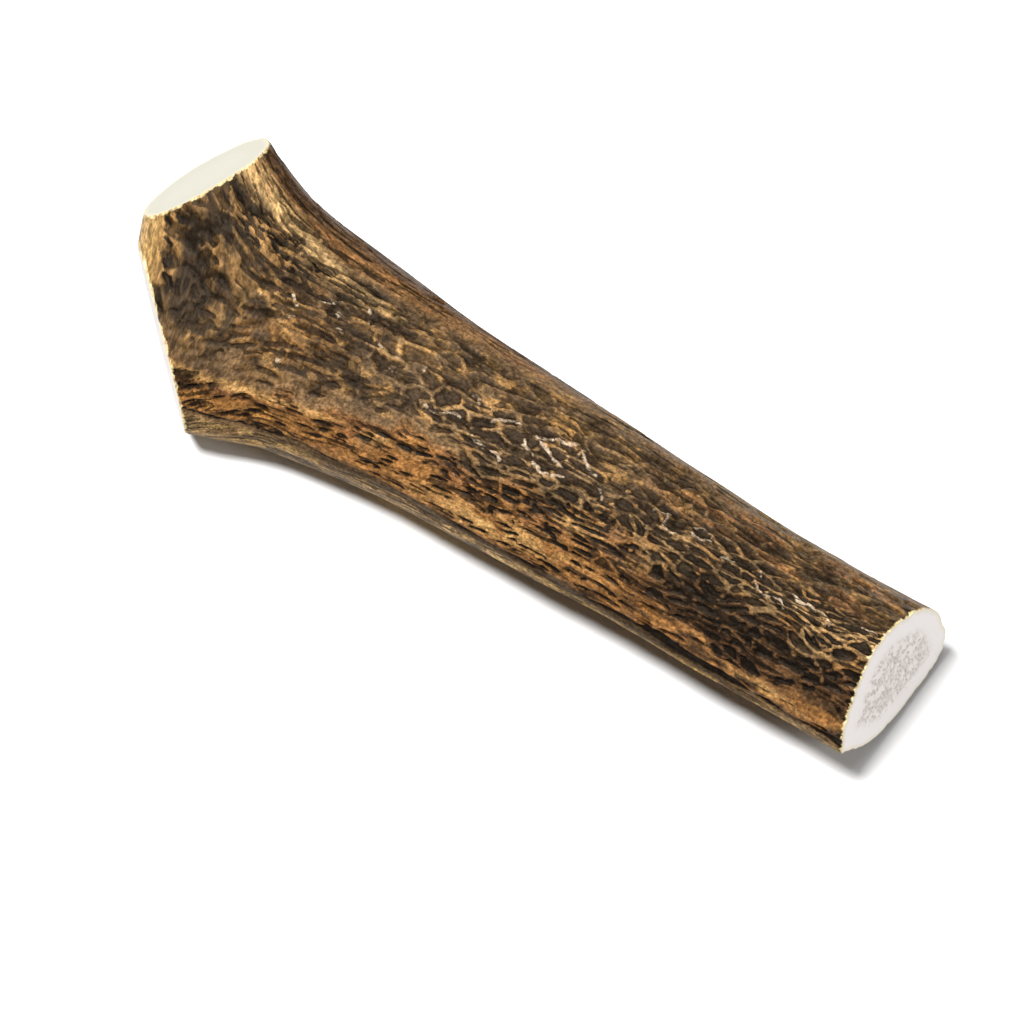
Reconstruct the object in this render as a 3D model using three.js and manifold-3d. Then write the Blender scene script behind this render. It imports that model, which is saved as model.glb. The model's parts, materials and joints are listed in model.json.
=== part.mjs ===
// A forked piece of deer antler, sawn off at its beam and at both arms of its fork.
// Millimetres, +Z up. The piece lies at rest on z = 0; +X runs along the beam to its single
// sawn end, and the fork is at -X. Its origin is under the middle of its bounding box.

import * as THREE from 'three';
import { mergeVertices } from 'three/addons/utils/BufferGeometryUtils.js';
import Module from 'manifold-3d';

// ---- driving dimensions -------------------------------------------------------------

// Cross-sections along the piece, from the fork to the beam's end. x, y and z place the
// section's middle, half is half its width, top and under are its height above and below.
const SECTIONS = [
  { x: -98.5, y: 6.2, z: 25.0, half: 35.0, top: 11.5, under: 11.5 },
  { x: -82.5, y: 1.1, z: 22.8, half: 32.0, top: 11.8, under: 11.6 },
  { x: -70.5, y: -0.6, z: 20.5, half: 31.0, top: 12.0, under: 11.7 },
  { x: -56.5, y: -2.3, z: 17.5, half: 25.6, top: 12.3, under: 11.8 },
  { x: -42.5, y: -0.6, z: 14.8, half: 22.0, top: 13.0, under: 12.0 },
  { x: -20.5, y: 0.6, z: 12.4, half: 19.6, top: 14.4, under: 12.0 },
  { x: 7.5, y: 0.3, z: 11.6, half: 18.6, top: 15.6, under: 11.8 },
  { x: 39.5, y: -0.5, z: 11.5, half: 17.5, top: 16.6, under: 11.0 },
  { x: 65.5, y: -1.0, z: 11.6, half: 16.9, top: 17.7, under: 10.3 },
  { x: 89.5, y: -0.2, z: 11.8, half: 17.0, top: 18.6, under: 9.7 },
];
const BEAM_END = 89.0; // last section, beyond the saw cut
const WEB_TIP = -84.8; // outermost point of the web between the two arms
const WEB_ROUND_WIDTH = 17.0; // length over which the web's outline rounds off
const WEB_ROUND_THICK = 10.0; // length over which its thickness rounds off
const UNDERSIDE_SHIFT = 4.5; // the beam's underside bulges this far towards +Y
const SHIFT_STARTS = -75.0;
const SHIFT_ENDS = -35.0;

// How full the sections are: 2 is an ellipse, more is squarer and less is more pointed. Each
// side has its own value at the fork and at the beam's end, and the underside adds some.
const FULLNESS_STARTS = -42.0;
const FULLNESS_ENDS = 88.0;
const NEAR_FULLNESS_FORK = 2.15;
const NEAR_FULLNESS_BEAM = 1.5;
const FAR_FULLNESS_FORK = 2.25;
const FAR_FULLNESS_BEAM = 1.9;
const UNDERSIDE_FULLNESS = 0.8;

const BEAM_TWIST = -3.0; // degrees that the beam leans, positive with its +Y side up
const FORK_TWIST = 25.0;
const TWIST_STARTS = 30.0;
const TWIST_ENDS = -58.0;
const FORK_FAN = 0.38; // how far the fork's sections fan round, per mm of width
const FAN_STARTS = -34.0;
const FAN_ENDS = -88.0;
const VALLEY_DEPTH = 1.6; // shallow valley on the web between the arms
const VALLEY_HALF_WIDTH = 9.0;
const VALLEY_STARTS = -35.0;
const VALLEY_ENDS = -75.0;

// Saw cuts: a point on each flat face, and the way the face looks, in degrees.
const SAW_CUTS = [
  { point: [82.9, 0, 14.8], azimuth: -3.2, tilt: 13.5 }, // beam end
  { point: [-76.0, 11.0, 30.8], azimuth: 161.5, tilt: 42.0 }, // far arm
  { point: [-67.3, -17.1, 17.6], azimuth: 229.0, tilt: 0.5 }, // near arm
];
const CUTTER_SIZE = 160.0;
const WORN_FLAT = 0.35; // the lowest ridges are worn flat by this much where the piece lies

// Bark: ridges along the grain with grooves between, over slow lumps.
const RIDGES = 32;
const RINGS = 70;
const GROOVE_DEPTH = 1.3;
const GROOVE_RUN = 11.0; // length over which a groove deepens and fades
const LUMP_DEPTH = 0.9;
const LUMP_RUN = 16.0;
const LUMPS_ROUND = 9;
const UNDERSIDE_WEAR = 0.7; // share of the relief that is worn off underneath
const FLANK_WEAR = 0.8; // share of the lumps that is worn off the +Y side
const FLANK_WEAR_POWER = 3; // more keeps the wear closer to that side's middle
const DEEPEST_SHARE = 0.25; // relief takes up at most this share of the way to the middle

// One long groove runs along the -Y side. Its place and width are in turns round the piece.
const SIDE_GROOVE_DEPTH = 0.8;
const SIDE_GROOVE_WIDTH = 0.012;
const SIDE_GROOVE_AT_FORK = 0.405;
const SIDE_GROOVE_AT_BEAM = 0.465;
const SIDE_GROOVE_STARTS = -60.0;
const SIDE_GROOVE_ENDS = 35.0;

// The rings of points stand closer together towards the web's tip.
const FIRST_RING = 0.05; // in ring steps from the tip
const RING_CROWDING = 1.15;

// ---- curves along the piece -----------------------------------------------------------

// Smooth step from 0 at from to 1 at to.
function ramp(from, to, x) {
  return THREE.MathUtils.smoothstep((x - from) / (to - from), 0, 1);
}

// One dimension of SECTIONS at any x, on a cubic through its stations.
function sectionValue(key, x) {
  const last = SECTIONS.length - 1;
  let i = 0;
  while (i < last - 1 && SECTIONS[i + 1].x < x) i += 1;
  const slope = (k) => {
    const a = SECTIONS[Math.max(k - 1, 0)];
    const b = SECTIONS[Math.min(k + 1, last)];
    return (b[key] - a[key]) / (b.x - a.x);
  };
  const start = SECTIONS[i];
  const end = SECTIONS[i + 1];
  const span = end.x - start.x;
  const t = (x - start.x) / span;
  const fromStart = (2 * t - 3) * t * t * (start[key] - end[key]) + start[key];
  return fromStart + t * (1 - t) * span * ((1 - t) * slope(i) - t * slope(i + 1));
}

// How much of a section is left where the web rounds off towards its tip.
function webRounding(x, length) {
  const t = THREE.MathUtils.clamp((WEB_TIP + length - x) / length, 0, 1);
  return Math.sqrt(1 - t * t);
}

// ---- bark relief ------------------------------------------------------------------------

const WAVE_ALONG = 127.1;
const WAVE_AROUND = 311.7;
const WAVE_HEIGHT = 43758.5;

// A fixed number between 0 and 1 for each cell of a grid that closes round the piece.
function cellValue(i, j, around) {
  const column = ((j % around) + around) % around;
  const wave = Math.sin(i * WAVE_ALONG + column * WAVE_AROUND) * WAVE_HEIGHT;
  return wave - Math.floor(wave);
}

function smoothNoise(along, turn, around) {
  const across = turn * around;
  const i = Math.floor(along);
  const j = Math.floor(across);
  const s = THREE.MathUtils.smoothstep(along - i, 0, 1);
  const t = THREE.MathUtils.smoothstep(across - j, 0, 1);
  const near = THREE.MathUtils.lerp(cellValue(i, j, around), cellValue(i, j + 1, around), t);
  const far = THREE.MathUtils.lerp(cellValue(i + 1, j, around), cellValue(i + 1, j + 1, around), t);
  return THREE.MathUtils.lerp(near, far, s);
}

function sideGroove(x, turn) {
  const run = ramp(SIDE_GROOVE_STARTS, SIDE_GROOVE_ENDS, x);
  const middle = THREE.MathUtils.lerp(SIDE_GROOVE_AT_FORK, SIDE_GROOVE_AT_BEAM, run);
  return SIDE_GROOVE_DEPTH * Math.exp(-(((turn - middle) / SIDE_GROOVE_WIDTH) ** 2));
}

// Depth of the bark below the ridge tops. Even rows run on ridges, odd rows in grooves.
function barkDepth(x, row, rows) {
  const angle = (row / rows) * 2 * Math.PI;
  const facingFar = Math.max(Math.cos(angle), 0) ** FLANK_WEAR_POWER;
  const facingDown = Math.max(-Math.sin(angle), 0);
  const lumpDepth = LUMP_DEPTH * (1 - FLANK_WEAR * facingFar);
  const lumps = lumpDepth * smoothNoise(x / LUMP_RUN, row / rows, LUMPS_ROUND);
  const isGroove = row % 2 === 1;
  const groove = isGroove ? GROOVE_DEPTH * smoothNoise(x / GROOVE_RUN + row, row / rows, rows) : 0;
  return (lumps + groove) * (1 - UNDERSIDE_WEAR * facingDown) + sideGroove(x, row / rows);
}

// ---- the grown form ---------------------------------------------------------------------

// A point of the bark at x, where turn runs from 0 to 1 round the piece, from +Y by the top.
function barkPoint(x, turn, depth) {
  const angle = turn * 2 * Math.PI;
  const c = Math.cos(angle);
  const s = Math.sin(angle);
  const run = (x - FULLNESS_STARTS) / (FULLNESS_ENDS - FULLNESS_STARTS);
  const beam = THREE.MathUtils.clamp(run, 0, 1);
  const nearFullness = THREE.MathUtils.lerp(NEAR_FULLNESS_FORK, NEAR_FULLNESS_BEAM, beam);
  const farFullness = THREE.MathUtils.lerp(FAR_FULLNESS_FORK, FAR_FULLNESS_BEAM, beam);
  const sideFullness = THREE.MathUtils.lerp(nearFullness, farFullness, (1 + c) / 2);
  const power = 2 / (sideFullness + UNDERSIDE_FULLNESS * Math.max(-s, 0));

  const halfWidth = sectionValue('half', x) * webRounding(x, WEB_ROUND_WIDTH);
  const height = sectionValue(s > 0 ? 'top' : 'under', x) * webRounding(x, WEB_ROUND_THICK);
  let across = halfWidth * Math.sign(c) * Math.abs(c) ** power;
  let up = height * Math.sign(s) * Math.abs(s) ** power;
  const shrink = 1 - Math.min(depth / Math.max(Math.hypot(across, up), 1), DEEPEST_SHARE);
  const valley = VALLEY_DEPTH * Math.exp(-((across / VALLEY_HALF_WIDTH) ** 2));
  up -= s * valley * ramp(VALLEY_STARTS, VALLEY_ENDS, x) * webRounding(x, WEB_ROUND_THICK);
  const shift = UNDERSIDE_SHIFT * ramp(SHIFT_STARTS, SHIFT_ENDS, x);
  across = across * shrink + shift * Math.max(-s, 0);
  up *= shrink;

  const twist = THREE.MathUtils.lerp(BEAM_TWIST, FORK_TWIST, ramp(TWIST_STARTS, TWIST_ENDS, x));
  const lean = THREE.MathUtils.degToRad(twist);
  const dy = across * Math.cos(lean) - up * Math.sin(lean);
  const dz = across * Math.sin(lean) + up * Math.cos(lean);
  const fan = FORK_FAN * ramp(FAN_STARTS, FAN_ENDS, x);
  return [x - fan * dy, sectionValue('y', x) + dy, sectionValue('z', x) + dz];
}

// The uncut form: rings of bark points from the web's tip to past the beam's end.
function grownForm() {
  const rows = 2 * RIDGES;
  const positions = [];
  for (let ring = 0; ring < RINGS; ring += 1) {
    const along = (ring + FIRST_RING) / (RINGS - 1 + FIRST_RING);
    const x = THREE.MathUtils.lerp(WEB_TIP, BEAM_END, along ** RING_CROWDING);
    for (let row = 0; row < rows; row += 1) {
      positions.push(...barkPoint(x, row / rows, barkDepth(x, row, rows)));
    }
  }
  const tip = positions.length / 3;
  positions.push(...barkPoint(WEB_TIP, 0, 0));
  const end = tip + 1;
  positions.push(BEAM_END, sectionValue('y', BEAM_END), sectionValue('z', BEAM_END));

  const faces = [];
  const lastRing = (RINGS - 1) * rows;
  for (let row = 0; row < rows; row += 1) {
    const next = (row + 1) % rows;
    faces.push(tip, next, row);
    faces.push(end, lastRing + row, lastRing + next);
    for (let first = 0; first < lastRing; first += rows) {
      faces.push(first + row, first + next, first + rows + row);
      faces.push(first + next, first + rows + next, first + rows + row);
    }
  }
  const geometry = new THREE.BufferGeometry();
  geometry.setAttribute('position', new THREE.Float32BufferAttribute(positions, 3));
  geometry.setIndex(faces);
  return geometry;
}

// ---- saw cuts -----------------------------------------------------------------------------

const wasm = await Module();
wasm.setup();

function toSolid(geometry) {
  const bare = geometry.clone();
  bare.deleteAttribute('normal');
  bare.deleteAttribute('uv');
  const merged = mergeVertices(bare);
  const vertProperties = new Float32Array(merged.attributes.position.array);
  const triVerts = new Uint32Array(merged.index.array);
  return new wasm.Manifold(new wasm.Mesh({ numProp: 3, vertProperties, triVerts }));
}

function toGeometry(solid) {
  const mesh = solid.getMesh();
  const geometry = new THREE.BufferGeometry();
  geometry.setAttribute('position', new THREE.BufferAttribute(mesh.vertProperties, 3));
  geometry.setIndex(new THREE.BufferAttribute(mesh.triVerts, 1));
  geometry.computeVertexNormals();
  return geometry;
}

function cutDirection({ azimuth, tilt }) {
  const turn = THREE.MathUtils.degToRad(azimuth);
  const rise = THREE.MathUtils.degToRad(tilt);
  const level = Math.cos(rise);
  return new THREE.Vector3(level * Math.cos(turn), level * Math.sin(turn), Math.sin(rise));
}

// A block whose near face is the saw cut, standing on the side that is sawn away.
function cutter(cut) {
  const direction = cutDirection(cut);
  const centre = new THREE.Vector3(...cut.point).addScaledVector(direction, CUTTER_SIZE / 2);
  const block = new THREE.BoxGeometry(CUTTER_SIZE, CUTTER_SIZE, CUTTER_SIZE);
  block.applyQuaternion(new THREE.Quaternion().setFromUnitVectors(new THREE.Vector3(0, 0, 1), direction));
  block.translate(centre.x, centre.y, centre.z);
  return toSolid(block);
}

// Wears the lowest ridges flat, so that the piece lies still instead of rocking on its belly.
function wornUnderneath(solid) {
  const lowest = solid.boundingBox().min[2];
  return solid.trimByPlane([0, 0, 1], lowest + WORN_FLAT);
}

// Moves the piece so that it lies on z = 0 with the origin under the middle of its box.
function setDown(geometry) {
  const box = new THREE.Box3().setFromBufferAttribute(geometry.attributes.position);
  const middle = box.getCenter(new THREE.Vector3());
  geometry.translate(-middle.x, -middle.y, -box.min.z);
  return geometry;
}

function antler() {
  let solid = toSolid(grownForm());
  for (const cut of SAW_CUTS) {
    solid = solid.subtract(cutter(cut));
  }
  solid = wornUnderneath(solid);
  const bark = new THREE.MeshStandardMaterial({ color: 0x6b4a2e, roughness: 0.55, metalness: 0 });
  const mesh = new THREE.Mesh(setDown(toGeometry(solid)), bark);
  mesh.name = 'antler';
  return mesh;
}

const group = new THREE.Group();
group.add(antler());
export default group;
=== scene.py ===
# Looks of the sawn, forked piece of deer antler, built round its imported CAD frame.
# Lengths are in millimetres until the mesh is made, and in metres from there on.
# "turn" runs from 0 to 1 round the piece, from its +Y side over the top to the -Y side.

import json
from types import SimpleNamespace

import bmesh
import bpy
import numpy as np
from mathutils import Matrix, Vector
from mathutils.geometry import delaunay_2d_cdt


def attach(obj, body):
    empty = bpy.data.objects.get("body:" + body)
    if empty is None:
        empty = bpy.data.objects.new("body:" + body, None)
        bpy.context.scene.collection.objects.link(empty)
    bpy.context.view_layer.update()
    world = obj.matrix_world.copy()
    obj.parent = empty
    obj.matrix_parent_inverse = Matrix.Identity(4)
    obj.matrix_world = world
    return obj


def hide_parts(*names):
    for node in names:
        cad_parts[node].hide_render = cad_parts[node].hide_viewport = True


MM = 0.001

# ---- the grown form, the same one as the CAD solid's ----------------------------------------

# Cross-sections along the piece: x, y and z of the middle, half width, height above, below.
SECTIONS = np.array([
    (-98.5, 6.2, 25.0, 35.0, 11.5, 11.5),
    (-82.5, 1.1, 22.8, 32.0, 11.8, 11.6),
    (-70.5, -0.6, 20.5, 31.0, 12.0, 11.7),
    (-56.5, -2.3, 17.5, 25.6, 12.3, 11.8),
    (-42.5, -0.6, 14.8, 22.0, 13.0, 12.0),
    (-20.5, 0.6, 12.4, 19.6, 14.4, 12.0),
    (7.5, 0.3, 11.6, 18.6, 15.6, 11.8),
    (39.5, -0.5, 11.5, 17.5, 16.6, 11.0),
    (65.5, -1.0, 11.6, 16.9, 17.7, 10.3),
    (89.5, -0.2, 11.8, 17.0, 18.6, 9.7),
])
BEAM_END = 89.0
WEB_TIP = -84.8
WEB_ROUND_WIDTH = 17.0
WEB_ROUND_THICK = 10.0
UNDERSIDE_SHIFT = 4.5
SHIFT_RUN = (-75.0, -35.0)
BEAM_TWIST = -3.0
FORK_TWIST = 25.0
TWIST_RUN = (30.0, -58.0)
FORK_FAN = 0.38
FAN_RUN = (-34.0, -88.0)
VALLEY_DEPTH = 1.6
VALLEY_HALF_WIDTH = 9.0
VALLEY_RUN = (-35.0, -75.0)
FULLNESS_FROM = -42.0
FULLNESS_SPAN = 130.0
NEAR_FULLNESS = (2.15, 1.5)
FAR_FULLNESS = (2.25, 1.9)
UNDER_FULLNESS = 0.8

# The saw cuts: a point of each flat face before the piece was set down, by mount name.
SAW_POINTS = {
    "beam_cut": (82.9, 0.0, 14.8),
    "far_arm_cut": (-76.0, 11.0, 30.8),
    "near_arm_cut": (-67.3, -17.1, 17.6),
}

# ---- mesh density and relief ----------------------------------------------------------------

RING_STEP = 0.43
WEB_RINGS = 41
TOP_STEPS = 158
UNDER_STEPS = 50
TOP_TURNS = (0.02, 0.58)
SKIN = 0.15  # how far the highest bark stays below the grown form
FLOOR_GAP = 0.03  # the worn ridges underneath stay this far above the table

LUMP_DEPTH = 0.9
LUMP_RUN = 16.0
LUMPS_ROUND = 9
LUMP_SEED = 1
FLANK_WEAR = 0.8  # share of the lumps that is worn off the +Y side
FLANK_WEAR_POWER = 3
HOLLOW_DEPTH = 0.50
STREAK_DEPTHS = (0.20, 0.34)  # on the beam, and on top of the fork
FURROW_DEPTH = 0.45
BLOTCH_DEPTH = 0.3
PALE_RIDGE_HEIGHT = 0.35
PALE_RIDGE_HALF_WIDTH = 0.45


def smooth(t):
    t = np.clip(t, 0.0, 1.0)
    return t * t * (3.0 - 2.0 * t)


def ramp(start, end, x):
    return smooth((x - start) / (end - start))


def mix(a, b, t):
    return a + (b - a) * t


def bump(x, middle, half):
    """1 at middle, falling to 0 at half away from it."""
    return smooth(1.0 - np.abs(x - middle) / half)


def between(t, starts, ends):
    """Rises over one stretch and falls again over another."""
    return ramp(*starts, t) * (1 - ramp(*ends, t))


def above(field, level, steepness, offset=0.0):
    """Rises from 0 to 1 where a noise passes a level."""
    return smooth((field - level) * steepness + offset)


def section_values(x):
    """Middle y and z, half width, height above and height below at each x."""
    stations = SECTIONS[:, 0]
    before = np.vstack([SECTIONS[:1], SECTIONS[:-1]])
    after = np.vstack([SECTIONS[1:], SECTIONS[-1:]])
    slopes = (after - before) / (after[:, :1] - before[:, :1])
    i = np.clip(np.searchsorted(stations, x) - 1, 0, len(stations) - 2)
    start, end = SECTIONS[i], SECTIONS[i + 1]
    span = (stations[i + 1] - stations[i])[..., None]
    t = (x - stations[i])[..., None] / span
    value = (2 * t - 3) * t * t * (start - end) + start
    value += t * (1 - t) * span * ((1 - t) * slopes[i] - t * slopes[i + 1])
    return np.moveaxis(value, -1, 0)[1:]


def web_rounding(x, length):
    t = np.clip((WEB_TIP + length - x) / length, 0.0, 1.0)
    return np.sqrt(1.0 - t * t)


def bark_point(x, turn, depth):
    """Points of the bark surface, depth millimetres inside the grown form."""
    c, s = np.cos(2 * np.pi * turn), np.sin(2 * np.pi * turn)
    beam = np.clip((x - FULLNESS_FROM) / FULLNESS_SPAN, 0.0, 1.0)
    fullness = mix(mix(*NEAR_FULLNESS, beam), mix(*FAR_FULLNESS, beam), (1 + c) / 2)
    power = 2.0 / (fullness + UNDER_FULLNESS * np.maximum(-s, 0.0))
    middle_y, middle_z, half, top, under = section_values(x)
    thick = web_rounding(x, WEB_ROUND_THICK)
    across = half * web_rounding(x, WEB_ROUND_WIDTH) * np.sign(c) * np.abs(c) ** power
    up = np.where(s > 0, top, under) * thick * np.sign(s) * np.abs(s) ** power
    reach = np.maximum(np.hypot(across, up), np.maximum(4 * depth, 1.0))
    shrink = 1.0 - depth / reach
    valley = VALLEY_DEPTH * np.exp(-((across / VALLEY_HALF_WIDTH) ** 2))
    up = up - s * valley * ramp(*VALLEY_RUN, x) * thick
    shift = UNDERSIDE_SHIFT * ramp(*SHIFT_RUN, x)
    across = across * shrink + shift * np.maximum(-s, 0.0)
    up = up * shrink
    lean = np.radians(mix(BEAM_TWIST, FORK_TWIST, ramp(*TWIST_RUN, x)))
    dy = across * np.cos(lean) - up * np.sin(lean)
    dz = across * np.sin(lean) + up * np.cos(lean)
    fan = FORK_FAN * ramp(*FAN_RUN, x)
    return np.stack([x - fan * dy, middle_y + dy, middle_z + dz], axis=-1)


# ---- patterns that close round the piece ----------------------------------------------------

HASH_I, HASH_J, HASH_SEED, HASH_MIX = 374761393, 668265263, 2246822519, 1274126177

# Noises on the bark: length of one cell along x, cells round the piece, seed, layers.
SWAY_ALONG = (7.0, 15, 11, 1)
SWAY_ROUND = (7.0, 15, 21, 1)
RIPPLE_ALONG = (1.8, 50, 26, 2)
RIPPLE_ROUND = (1.8, 50, 28, 2)
PATCHES = (12.0, 12, 71, 3)
BLOTCHES = (4.5, 30, 75, 3)
FADING = (7.0, 20, 79, 3)
MOTTLE = (2.2, 56, 83, 3)
SPOTS = (3.6, 56, 87, 2)
FURROWS = (9.0, 62, 91, 2)
FORK_FURROWS = (3.0, 46, 95, 3)

# Cells on the bark: length, cells round the piece, how many of their widths go round it, seed,
# and how irregular they are.
NET_CELLS = (5.0, 54, 54, 31, 1.0)
WIDE_CELLS = (6.4, 42, 42, 41, 1.0)
SMALL_CELLS = (2.6, 96, 96, 36, 1.0)
LENS_CELLS = (5.5, 92, 92, 46, 0.95)
SLOT_CELLS = (4.6, 150, 110, 66, 0.95)
STREAK_CELLS = (9.0, 104, 104, 51, 1.0)
CREASE_CELLS = (11.0, 84, 60, 61, 1.0)


def scatter(i, j, seed):
    """A fixed number from 0 to 1 for each whole i and j."""
    h = i.astype(np.int64) * HASH_I + j.astype(np.int64) * HASH_J + seed * HASH_SEED
    h = h & 0xFFFFFFFF
    h = ((h ^ (h >> 13)) * HASH_MIX) & 0xFFFFFFFF
    h = ((h ^ (h >> 16)) * HASH_I) & 0xFFFFFFFF
    return ((h ^ (h >> 15)) & 0xFFFFFF) / float(0x1000000)


def noise(along, turn, around, seed):
    """Smooth noise from 0 to 1 whose cells are 1 long, with around of them in a full turn."""
    across = turn * around
    i, j = np.floor(along), np.floor(across)
    s, t = smooth(along - i), smooth(across - j)
    near = mix(scatter(i, j % around, seed), scatter(i, (j + 1) % around, seed), t)
    far = mix(scatter(i + 1, j % around, seed), scatter(i + 1, (j + 1) % around, seed), t)
    return mix(near, far, s)


def layered(kind, x, turn):
    """One of the noises listed above, with finer layers of it added."""
    length, around, seed, layers = kind
    total, weight, scale = 0.0, 0.0, 1
    for layer in range(layers):
        share = 0.55 ** layer
        total = total + share * noise(x / length * scale, turn, around * scale, seed + layer)
        weight += share
        scale *= 2
    return total / weight


def cells(x, turn, length, around, width, seed, jitter):
    """Cells drawn out along the grain: millimetres to the nearest edge, how far from the middle
    in cells, and a fixed number from 0 to 1 for each cell."""
    u, v = x / length, turn * around
    i0, j0 = np.floor(u), np.floor(v)
    best = np.full(x.shape, 9.0)
    second = np.full(x.shape, 9.0)
    nearest_u = np.zeros(x.shape)
    nearest_v = np.zeros(x.shape)
    other_u = np.zeros(x.shape)
    other_v = np.zeros(x.shape)
    which = np.zeros(x.shape)
    for di in (-2, -1, 0, 1, 2):
        for dj in (-1, 0, 1):
            i, j = i0 + di, j0 + dj
            column = j % around
            offset = 0.5 * (column % 2)
            seed_u = i + 0.5 + offset + jitter * (scatter(i, column, seed) - 0.5)
            seed_v = j + 0.5 + jitter * (scatter(i, column, seed + 1) - 0.5)
            distance = (u - seed_u) ** 2 + (v - seed_v) ** 2
            closer = distance < best
            runner_up = ~closer & (distance < second)
            other_u = np.where(closer, nearest_u, np.where(runner_up, seed_u, other_u))
            other_v = np.where(closer, nearest_v, np.where(runner_up, seed_v, other_v))
            second = np.where(closer, best, np.where(runner_up, distance, second))
            best = np.where(closer, distance, best)
            nearest_u = np.where(closer, seed_u, nearest_u)
            nearest_v = np.where(closer, seed_v, nearest_v)
            which = np.where(closer, scatter(i, column, seed + 2), which)
    slope = np.hypot((other_u - nearest_u) / length, (other_v - nearest_v) / width)
    return 0.5 * (second - best) / np.maximum(slope, 1e-6), np.sqrt(best), which


def bark_cells(kind, x, turn, perimeter):
    """One of the cell patterns listed above."""
    length, around, widths_round, seed, jitter = kind
    return cells(x, turn, length, around, perimeter / widths_round, seed, jitter)


def distance_to_lines(x, turn, perimeter, lines):
    """Millimetres over the surface to the nearest of some lines."""
    nearest = np.full(x.shape, 99.0)
    for line in lines:
        for (x0, t0), (x1, t1) in zip(line[:-1], line[1:]):
            dx, dt = x1 - x0, (t1 - t0) * perimeter
            px, pt = x - x0, (turn - t0) * perimeter
            along = np.clip((px * dx + pt * dt) / (dx * dx + dt * dt), 0, 1)
            nearest = np.minimum(nearest, np.hypot(px - along * dx, pt - along * dt))
    return nearest


# ---- where each kind of bark lies -----------------------------------------------------------

# The bark's radius for measuring round it, on the fork and on the beam.
RADII = (20.0, 16.5)
RADIUS_RUN = (-60.0, 0.0)

# How far the grain leans on the fork, in turns for each turn away from its middle line.
GRAIN_LEAN = 0.45
LEAN_RUN = (-40.0, -80.0)
LEAN_MIDDLE = 0.20

# Along the piece: the x where a zone starts, and the x where it is full.
NEAR_END_RUN = (18.0, 45.0)
NEAR_CUT_RUN = (57.0, 68.0)
FORK_RUN = (-15.0, -45.0)
NET_RUN = (-25.0, 5.0)
LENS_RUN = (-30.0, -58.0)
CROTCH_RUN = (-76.0, -80.0)
SHADE_RUN = (-48.0, -62.0)
BAND_RUN = (-44.0, -32.0)
OLIVE_RUN = (-20.0, 30.0)

# Round the piece: the turns where a zone starts and is full, or starts to fade and ends.
FAR_FLANK_STARTS = (0.93, 0.98)
FAR_FLANK_ENDS = (0.07, 0.13)
TOP_STARTS = (0.10, 0.15)
TOP_ENDS = (0.285, 0.32)
NET_STARTS = (0.20, 0.275)
NET_ENDS = (0.365, 0.39)
BLACK_STARTS = (0.330, 0.352)
BLACK_ENDS = (0.412, 0.430)
RUSTY_STARTS = (0.315, 0.345)
STRIPE_ENDS = (0.55, 0.60)
UNDER_STARTS = (0.55, 0.62)
UNDER_ENDS = (0.93, 0.98)

# Middle turn and half width of a band.
CROTCH_BAND = (0.265, 0.11)
SHADE_BAND = (0.245, 0.098)
ARM_AMBER_BAND = (0.382, 0.032)
ARM_DARK_BAND = (0.358, 0.011)
ARM_GOLD_BAND = (0.343, 0.011)

# Middle and half length along x, then middle turn and half width of a patch.
LEATHER = (0.0, 62.0, 0.222, 0.115)
BARE = (-47.0, 17.0, 0.260, 0.065)
ARM_PITS = (-74.5, 8.5, 0.245, 0.085)
CREST_PITS = (-57.0, 22.0, 0.155, 0.035)
EVEN_SIDE = (-40.0, 34.0, 0.485, 0.085)
MIDDLE_GILT = (6.0, 28.0, 0.415, 0.040)
END_GILT = (68.0, 16.0, 0.438, 0.020)
DARK_CORNER = (77.0, 9.0, 0.412, 0.020)

# The groove between the near flank and the stripe below it: its turn, and its half width in
# millimetres, on the fork's side and at the beam's end.
GROOVE_TURNS = (0.405, 0.465)
GROOVE_RUN = (-60.0, 35.0)
GROOVE_HALF_WIDTHS = (0.45, 1.3)
GROOVE_SWAY = 0.008

# Turn where the golden near flank starts, on the middle of the beam and near its end.
GOLD_STARTS = (0.375, 0.425)

# The pale crest from the far arm to the beam: turn and half width at both of its ends.
CREST_RUN = (-66.0, -32.0)
CREST_TURNS = (0.096, 0.150)
CREST_HALF_WIDTHS = (0.052, 0.018)
CREST_FADE = (-22.0, -36.0)
# Painted shade below the crest: turns past the crest's middle at both ends, half width in turns,
# and the x where it starts and is full.
BELOW_CREST = (0.044, 0.024)
BELOW_CREST_HALF_WIDTH = 0.020
BELOW_CREST_FADE = (-24.0, -34.0)

# The golden net near the beam's cut: turn and half width away from the cut and beside it.
GLOW_RUN = (28.0, 38.0)
GLOW_TURNS = (0.275, 0.283)
GLOW_HALF_WIDTHS = (0.036, 0.048)

# Hollows: half the wall between two of them, size in cells, and how steep their sides are.
NET_HOLLOW = (0.26, 0.68, 2.6)
WIDE_HOLLOW = (0.30, 0.72, 3.0)
SMALL_HOLLOW = (0.15, 0.5, 1.4)
LENS_WALL = 0.10
LENS_SIZES = (0.32, 0.66)
SLOT_WALL = 0.02
SLOT_SIZES = (0.30, 0.58)
LONG_STEEPNESS = 2.2  # of the lenses and the slots

# Shares of the cells that hold a hollow.
LENS_SHARE = 0.70
SLOT_SHARE = 0.66
SMALL_SHARE = 0.45
SHARE_STEEPNESS = 8
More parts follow.
